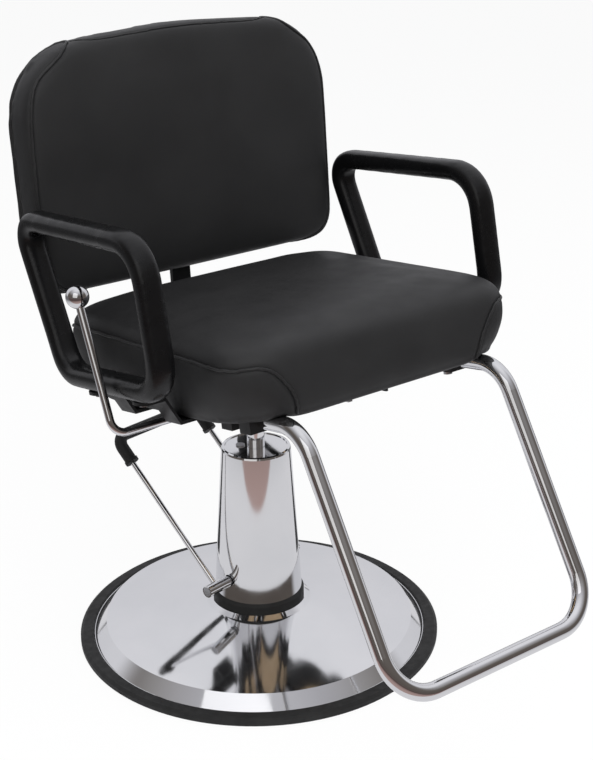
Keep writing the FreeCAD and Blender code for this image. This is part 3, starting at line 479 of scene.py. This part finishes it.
def stuff(thing, seam_distance, held, draw_in, cap):
    """Cloth pressure swells the skin between its seams. held(vert) is 1 where something behind it keeps it flat."""
    mesh = thing.data
    normals = [vert.normal.copy() for vert in mesh.vertices]
    keep = [held(vert) for vert in mesh.vertices]
    for vert, normal, kept in zip(mesh.vertices, normals, keep):
        vert.co -= normal * draw_in * (1.0 - kept)
    mesh.update()
    start = [vert.co.copy() for vert in mesh.vertices]
    sewn = thing.vertex_groups.new(name="sewn")
    for index, (away, kept) in enumerate(zip(seam_distance, keep)):
        weight = max(kept, 1.0 - min(1.0, max(0.0, away - SEWN_WIDTH) / SEWN_FADE))
        if weight > 0.0:
            sewn.add([index], weight, "REPLACE")
    cloth = thing.modifiers.new("stuffing", "CLOTH")
    cloth.settings.quality = CLOTH_QUALITY
    cloth.settings.mass = CLOTH_MASS
    cloth.settings.vertex_group_mass = "sewn"
    cloth.settings.use_pressure = True
    cloth.settings.uniform_pressure_force = CLOTH_PRESSURE
    cloth.settings.effector_weights.gravity = 0.0
    cloth.collision_settings.use_collision = False
    cloth.collision_settings.use_self_collision = False
    cloth.point_cache.frame_start = 1
    cloth.point_cache.frame_end = CLOTH_FRAMES
    for step in range(1, CLOTH_FRAMES + 1):
        scene.frame_set(step)
    swollen = settled(thing)
    thing.modifiers.remove(cloth)
    scene.frame_set(1)
    rise = [min(cap, max(0.0, (after.co - before).dot(normal)))
            for before, after, normal in zip(start, swollen.vertices, normals)]
    fixed = [away < SEWN_WIDTH or kept > 0.5 for away, kept in zip(seam_distance, keep)]
    for vert, before, normal, height in zip(mesh.vertices, start, normals, eased(mesh, rise, fixed)):
        vert.co = before + normal * height
    bpy.data.meshes.remove(swollen)
    thing.vertex_groups.remove(sewn)
    mesh.update()


# Seams and piping

PIPING_RADIUS = 0.0023
PIPING_ROUNDNESS = 3
PIPING_LIFT = 0.5  # of its radius
TOP_SEAM_RADIUS = 0.0012
SEAM_DEPTH, SEAM_WIDTH = 0.0018, 0.0042
TOP_SEAM_DEPTH, TOP_SEAM_WIDTH = 0.002, 0.0032
SEAM_REACH = 3.0  # widths from the seam


def pull_in(thing, line, depth, width):
    """Draws the skin in along a seam."""
    mesh = thing.data
    near = [(index, away) for index, away in enumerate(distances(mesh, line)) if away < width * SEAM_REACH]
    moves = [mesh.vertices[index].normal * depth * math.exp(-(away / width) ** 2) for index, away in near]
    for (index, _), move in zip(near, moves):
        mesh.vertices[index].co -= move
    mesh.update()


def piping(name, thing, line, closed, body, radius=PIPING_RADIUS):
    """A covered cord sewn along a seam of the upholstery."""
    holder, curve, _ = drawn(name, laid_on(thing, line, radius * PIPING_LIFT), "POLY", closed)
    curve.bevel_depth = radius
    curve.bevel_resolution = PIPING_ROUNDNESS
    curve.use_fill_caps = True
    cord = piece(name, meshed(holder, curve), PIPING_VINYL)
    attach(cord, body)


# Seam round each side panel of the seat: along the side, round the front corner and down the front.
SEAT_SEAM = [
    (192, 122, 4), (194, 124, 40), (202, 124, 75), (222, 122, 100), (248, 114, 112), (263, 92, 115),
    (268, 60, 114), (268, 23, 112), (268, -55, 106), (268, -134, 100), (268, -228, 94), (267, -286, 87),
    (256, -318, 84), (243, -333, 85), (227, -342, 85), (213, -347, 80), (200, -350, 69), (189, -350, 55),
    (179, -349, 40), (172, -347, 17), (172, -342, 2),
]

# Seam round each side panel of the back: a long loop with a sharp turn at the top and at the foot.
BACK_SEAM = [
    (184, 38, 566), (194, 24, 563), (207, 11, 559), (217, 5, 552), (230, 3, 543), (245, 4, 533),
    (256, 6, 523), (263, 6, 515), (268, 6, 506), (273, 4, 495), (277, 2, 481), (280, 1, 463),
    (283, 1, 434), (283, 2, 404), (284, 3, 343), (284, 3, 285), (282, 3, 245), (276, 3, 220),
    (264, 4, 203), (246, 6, 192), (224, 12, 186), (203, 24, 183), (188, 38, 183), (200, 49, 183),
    (222, 55, 186), (246, 57, 192), (264, 57, 203), (276, 57, 220), (282, 57, 245), (284, 57, 285),
    (284, 57, 343), (284, 57, 404), (283, 57, 440), (276, 57, 485), (262, 57, 514), (245, 57, 533),
    (220, 56, 552), (203, 54, 561), (190, 48, 566),
]

# Plain seam along the top of the back, between the two side panels.
BACK_TOP_SEAM = [
    (-182, 30, 565), (-168, 17, 567), (-143, 10, 569), (-69, 8, 573), (-15, 8, 574), (43, 8, 573),
    (101, 9, 571), (143, 10, 569), (168, 17, 567), (182, 30, 565),
]


# The chair's soft pieces. What lies behind a skin is given in the place of the seat frame or of the back.

SIDES = (-1, 1)
CUSHION_DRAW_IN, CUSHION_RISE = 0.0025, 0.0055
PANEL_DRAW_IN, PANEL_RISE = 0.0015, 0.003
SEAT_BOARD_HALF_WIDTH = 0.218
SEAT_BOARD_FRONT, SEAT_BOARD_REAR = -0.306, 0.032
SEAT_BOARD_TOP = 0.018
SEAT_UNDERSIDE = 0.03
FACING_DOWN = -0.7
BACK_CUSHION_REAR = 0.052
BACK_BOARD_FRONT = 0.040
BACK_BOARD_HALF_WIDTH = 0.256
BACK_BOARD_FOOT, BACK_BOARD_TOP = 0.215, 0.545
PANEL_FRONT = 0.064
BAR_HALF_WIDTH = 0.03
BAR_TOP = 0.44
FAR_FROM_SEAMS = 1.0


def seat_upholstery():
    cover = cushion_skin("seat_upholstery", "seat_cushion")
    seams = [laid_on(cover, smooth_line(on_side(SEAT_SEAM, SEAT_PLACE, side), False)) for side in SIDES]
    away = distances(cover.data, seams[0] + seams[1])
    to_seat = SEAT_PLACE.inverted()

    def held(vert):
        spot = to_seat @ vert.co
        upward = (to_seat.to_3x3() @ vert.normal).z
        over_board = abs(spot.x) < SEAT_BOARD_HALF_WIDTH and SEAT_BOARD_FRONT < spot.y < SEAT_BOARD_REAR
        on_board = over_board and spot.z < SEAT_BOARD_TOP
        underneath = upward < FACING_DOWN and spot.z < SEAT_UNDERSIDE
        return 1.0 if on_board or underneath else 0.0

    stuff(cover, away, held, CUSHION_DRAW_IN, CUSHION_RISE)
    finer(cover)
    for seam in seams:
        pull_in(cover, laid_on(cover, seam), SEAM_DEPTH, SEAM_WIDTH)
    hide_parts("seat_cushion")
    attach(cover, "seat")
    for name, seam in zip(("seat_piping_left", "seat_piping_right"), seams):
        piping(name, cover, seam, False, "seat")


def back_upholstery():
    cover = cushion_skin("back_upholstery", "back_cushion")
    seams = [laid_on(cover, smooth_line(on_side(BACK_SEAM, BACK_PLACE, side), True)) for side in SIDES]
    top_seam = laid_on(cover, smooth_line(on_side(BACK_TOP_SEAM, BACK_PLACE, 1), False))
    away = distances(cover.data, seams[0] + seams[1] + top_seam)
    to_back = BACK_PLACE.inverted()

    def held(vert):
        spot = to_back @ vert.co
        over_board = abs(spot.x) < BACK_BOARD_HALF_WIDTH and BACK_BOARD_FOOT < spot.z < BACK_BOARD_TOP
        on_board = over_board and spot.y > BACK_BOARD_FRONT
        return 1.0 if on_board or spot.y > BACK_CUSHION_REAR else 0.0

    stuff(cover, away, held, CUSHION_DRAW_IN, CUSHION_RISE)
    finer(cover)
    for seam in seams:
        pull_in(cover, laid_on(cover, seam), SEAM_DEPTH, SEAM_WIDTH)
    pull_in(cover, laid_on(cover, top_seam), TOP_SEAM_DEPTH, TOP_SEAM_WIDTH)
    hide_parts("back_cushion")
    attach(cover, "back")
    for name, seam in zip(("back_piping_left", "back_piping_right"), seams):
        piping(name, cover, seam, True, "back")
    piping("back_top_seam", cover, top_seam, False, "back", TOP_SEAM_RADIUS)


def rear_panel():
    cover = cushion_skin("rear_panel", "back_panel")
    to_back = BACK_PLACE.inverted()

    def held(vert):
        spot = to_back @ vert.co
        near_bar = abs(spot.x) < BAR_HALF_WIDTH and spot.z < BAR_TOP
        return 1.0 if spot.y < PANEL_FRONT or near_bar else 0.0

    stuff(cover, [FAR_FROM_SEAMS] * len(cover.data.vertices), held, PANEL_DRAW_IN, PANEL_RISE)
    finer(cover)
    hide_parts("back_panel")
    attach(cover, "back")


def moulded_arm(name, node):
    """The arm's skin with its corners flowing into each other, as moulded foam leaves them."""
    arm = skin_round(name, node, ARM_VOXEL, FINISHES["arm_skin"], ARM_SMOOTHING)
    finer(arm)
    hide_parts(node)
    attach(arm, "seat")


seat_upholstery()
back_upholstery()
rear_panel()
moulded_arm("arm_skin_left", "arm_left")
moulded_arm("arm_skin_right", "arm_right")


# Studio

CAMERA_PLACE = (-1.3804, -1.8839, 1.3769)
CAMERA_AZIMUTH, CAMERA_ELEVATION, CAMERA_ROLL = (math.radians(angle) for angle in (-37.89, 21.55, -0.5))
CAMERA_LENS, CAMERA_SENSOR = 73.56, 36.0  # millimetres
CAMERA_REACH = 50.0

# Level direction from the camera to the chair.
VIEW_AHEAD = (0.591, 0.807, 0.0)

# What shiny surfaces see from straight down (0) over the horizon (0.5) to straight up (1):
# the dim room on the camera's side, and the white paper that hangs behind the chair.
ROOM_TONES = [
    (0.0, (0.5, 0.5, 0.52)), (0.48, (0.20, 0.18, 0.17)), (0.52, (0.10, 0.085, 0.075)),
    (0.70, (0.13, 0.115, 0.105)), (0.80, (0.30, 0.29, 0.29)), (0.88, (0.46, 0.455, 0.48)),
    (1.0, (0.85, 0.85, 0.88)),
]
PAPER_TONES = [
    (0.0, (0.5, 0.5, 0.52)), (0.5, (0.66, 0.66, 0.69)), (0.75, (0.72, 0.72, 0.755)), (1.0, (0.85, 0.85, 0.88)),
]
PAPER_START, PAPER_END = 0.05, 0.40  # how far ahead the room passes into the paper
BACKGROUND_WHITE = (1.0, 1.0, 1.0, 1.0)
AMBIENT_TINT = (0.95, 0.97, 1.0, 1.0)
AMBIENT_STRENGTH = 0.45

FLOOR_HALF_SIDE = 20.0
FLOOR_GRAIN = 3.0
FLOOR_DARK, FLOOR_LIGHT = 0.84, 0.88
FLOOR_ROUGHNESS = 0.9
FLOOR_GLOW = 0.92  # share of the floor's own light in what the camera sees
# Painted pool of light on the floor as shiny surfaces see it: the glow is strongest near the chair and dims further
# away.
PAINTED_POOL_START, PAINTED_POOL_END = 0.7, 2.4
PAINTED_POOL_BRIGHT, PAINTED_POOL_DIM = 0.74, 0.16
BROWN_END, PAPER_EDGE = -0.80, -0.77
BROWN_FLOOR = (0.57, 0.41, 0.38, 1.0)
PAPER_WHITE = (0.975, 0.97, 1.0, 1.0)

FLAG_TURN = 42.0  # degrees from the view
FLAG_START, FLAG_LENGTH, FLAG_WIDTH = 0.34, 1.1, 0.15
FLAG_HEIGHT = 0.004


def photo_camera():
    back = Vector((
        math.sin(CAMERA_AZIMUTH) * math.cos(CAMERA_ELEVATION),
        -math.cos(CAMERA_AZIMUTH) * math.cos(CAMERA_ELEVATION),
        math.sin(CAMERA_ELEVATION),
    ))
    level = Vector((math.cos(CAMERA_AZIMUTH), math.sin(CAMERA_AZIMUTH), 0.0))
    upright = back.cross(level)
    right = level * math.cos(CAMERA_ROLL) + upright * math.sin(CAMERA_ROLL)
    up = upright * math.cos(CAMERA_ROLL) - level * math.sin(CAMERA_ROLL)
    lens = bpy.data.cameras.new("photo_camera")
    lens.sensor_width = CAMERA_SENSOR
    lens.lens = CAMERA_LENS
    lens.clip_end = CAMERA_REACH
    camera = bpy.data.objects.new("photo_camera", lens)
    scene.collection.objects.link(camera)
    turn = Matrix((right, up, back)).transposed().to_4x4()
    camera.matrix_world = Matrix.Translation(CAMERA_PLACE) @ turn
    scene.camera = camera


def softbox(name, place, aim_height, side, watts, mirrored):
    """A square lamp aimed at the chair. Shiny surfaces show it only where mirrored."""
    lamp = bpy.data.lights.new(name, "AREA")
    lamp.shape = "RECTANGLE"
    lamp.size = side
    lamp.size_y = side
    lamp.energy = watts
    box = bpy.data.objects.new(name, lamp)
    box.location = place
    aim = Vector((0, 0, aim_height)) - Vector(place)
    box.rotation_euler = aim.to_track_quat("-Z", "Y").to_euler()
    box.visible_glossy = mirrored
    scene.collection.objects.link(box)


def white_studio():
    """White to the camera, an even light to matt surfaces, and to shiny ones a dim room and a hanging paper."""
    world = bpy.data.worlds.new("white_studio")
    scene.world = world
    world.use_nodes = True
    nodes, links = world.node_tree.nodes, world.node_tree.links
    ambient = nodes["Background"]
    ambient.inputs["Color"].default_value = AMBIENT_TINT
    ambient.inputs["Strength"].default_value = AMBIENT_STRENGTH

    direction = nodes.new("ShaderNodeTexCoord").outputs["Generated"]
    parts = nodes.new("ShaderNodeSeparateXYZ")
    links.new(direction, parts.inputs[0])
    height = remapped(nodes, links, parts.outputs["Z"], -1.0, 1.0)
    room = nodes.new("ShaderNodeMix")
    room.data_type = "RGBA"
    ahead = along(nodes, links, direction, VIEW_AHEAD)
    links.new(remapped(nodes, links, ahead, PAPER_START, PAPER_END, eased_ends=True), room.inputs["Factor"])
    links.new(colour_ramp(nodes, links, height, ROOM_TONES), room.inputs["A"])
    links.new(colour_ramp(nodes, links, height, PAPER_TONES), room.inputs["B"])

    rays = nodes.new("ShaderNodeLightPath").outputs
    tone = nodes.new("ShaderNodeMix")
    tone.data_type = "RGBA"
    tone.inputs["A"].default_value = BACKGROUND_WHITE
    links.new(rays["Is Glossy Ray"], tone.inputs["Factor"])
    links.new(room.outputs["Result"], tone.inputs["B"])
    backdrop = nodes.new("ShaderNodeBackground")
    links.new(tone.outputs["Result"], backdrop.inputs["Color"])
    direct = larger(nodes, links, rays["Is Camera Ray"], rays["Is Glossy Ray"])
    direct = larger(nodes, links, direct, rays["Is Transmission Ray"])
    seen = shaders_mixed(nodes, links, direct, ambient.outputs[0], backdrop.outputs[0])
    links.new(seen, nodes["World Output"].inputs["Surface"])


def flat_card(name, half_side, place, finish):
    shape = bmesh.new()
    bmesh.ops.create_grid(shape, x_segments=1, y_segments=1, size=half_side, matrix=place)
    mesh = bpy.data.meshes.new(name)
    shape.to_mesh(mesh)
    shape.free()
    return piece(name, mesh, finish)


def white_paper():
    """Matt paper, evenly white to the camera. To shiny surfaces it glows with a painted pool of light, brightest near
    the chair and dimming into the room, with a brown floor where it ends before the chair.
    """
    paper = bpy.data.materials.new("white_paper")
    paper.use_nodes = True
    nodes, links = paper.node_tree.nodes, paper.node_tree.links
    matt = nodes["Principled BSDF"]
    grain = nodes.new("ShaderNodeTexNoise")
    grain.inputs["Scale"].default_value = FLOOR_GRAIN
    tone = remapped(nodes, links, grain.outputs["Fac"], 0.0, 1.0, FLOOR_DARK, FLOOR_LIGHT)
    links.new(tone, matt.inputs["Base Color"])
    matt.inputs["Roughness"].default_value = FLOOR_ROUGHNESS
    matt.inputs["Specular IOR Level"].default_value = 0.0
    rays = nodes.new("ShaderNodeLightPath").outputs
    share = nodes.new("ShaderNodeMath")
    share.operation = "MULTIPLY"
    share.inputs[1].default_value = FLOOR_GLOW
    links.new(rays["Is Camera Ray"], share.inputs[0])
    glow = nodes.new("ShaderNodeEmission")
    plain = shaders_mixed(nodes, links, share.outputs[0], matt.outputs[0], glow.outputs[0])

    place = nodes.new("ShaderNodeTexCoord").outputs["Object"]
    away = nodes.new("ShaderNodeVectorMath")
    away.operation = "LENGTH"
    links.new(place, away.inputs[0])
    # Painted light: the glow that shiny surfaces see on the floor is strongest near the chair and dims with distance.
    painted_pool_strength = remapped(nodes, links, away.outputs["Value"], PAINTED_POOL_START, PAINTED_POOL_END, PAINTED_POOL_BRIGHT, PAINTED_POOL_DIM, eased_ends=True)
    ground = nodes.new("ShaderNodeMix")
    ground.data_type = "RGBA"
    ground.inputs["A"].default_value = BROWN_FLOOR
    ground.inputs["B"].default_value = PAPER_WHITE
    ahead = along(nodes, links, place, VIEW_AHEAD)
    links.new(remapped(nodes, links, ahead, BROWN_END, PAPER_EDGE), ground.inputs["Factor"])
    # The floor's painted glow for shiny surfaces, brown or white by where it lies.
    mirrored = nodes.new("ShaderNodeEmission")
    links.new(ground.outputs["Result"], mirrored.inputs["Color"])
    links.new(painted_pool_strength, mirrored.inputs["Strength"])
    seen = shaders_mixed(nodes, links, rays["Is Glossy Ray"], plain, mirrored.outputs[0])
    links.new(seen, nodes["Material Output"].inputs["Surface"])
    return paper


def pale_floor():
    floor = flat_card("pale_floor", FLOOR_HALF_SIDE, Matrix(), white_paper())


def black_flag(name, turn):
    """A black card on the floor beside the picture, seen by shiny surfaces alone, for bright metal's dark edges."""
    heading = math.atan2(VIEW_AHEAD[1], VIEW_AHEAD[0]) + math.radians(turn)
    place = Matrix.Rotation(heading, 4, "Z")
    place = place @ Matrix.Translation((FLAG_START + FLAG_LENGTH / 2, 0.0, FLAG_HEIGHT))
    place = place @ Matrix.Diagonal((FLAG_LENGTH, FLAG_WIDTH, 1.0, 1.0))
    card = flat_card(name, 0.5, place, FINISHES["black_rubber"])
    card.visible_camera = False
    card.visible_diffuse = False
    card.visible_shadow = False


photo_camera()
softbox("top_softbox", (0.3, -0.2, 3.4), aim_height=0.5, side=4.4, watts=58, mirrored=False)
softbox("key_softbox", (-2.9, -2.0, 2.6), aim_height=0.6, side=3.0, watts=18, mirrored=True)
softbox("front_softbox", (-1.4, -2.4, 3.0), aim_height=0.6, side=3.0, watts=110, mirrored=False)
softbox("fill_softbox", (2.8, -1.8, 2.0), aim_height=0.5, side=2.8, watts=32, mirrored=False)
white_studio()
pale_floor()
black_flag("left_flag", FLAG_TURN)
black_flag("right_flag", -FLAG_TURN)
scene.view_settings.view_transform = "Standard"
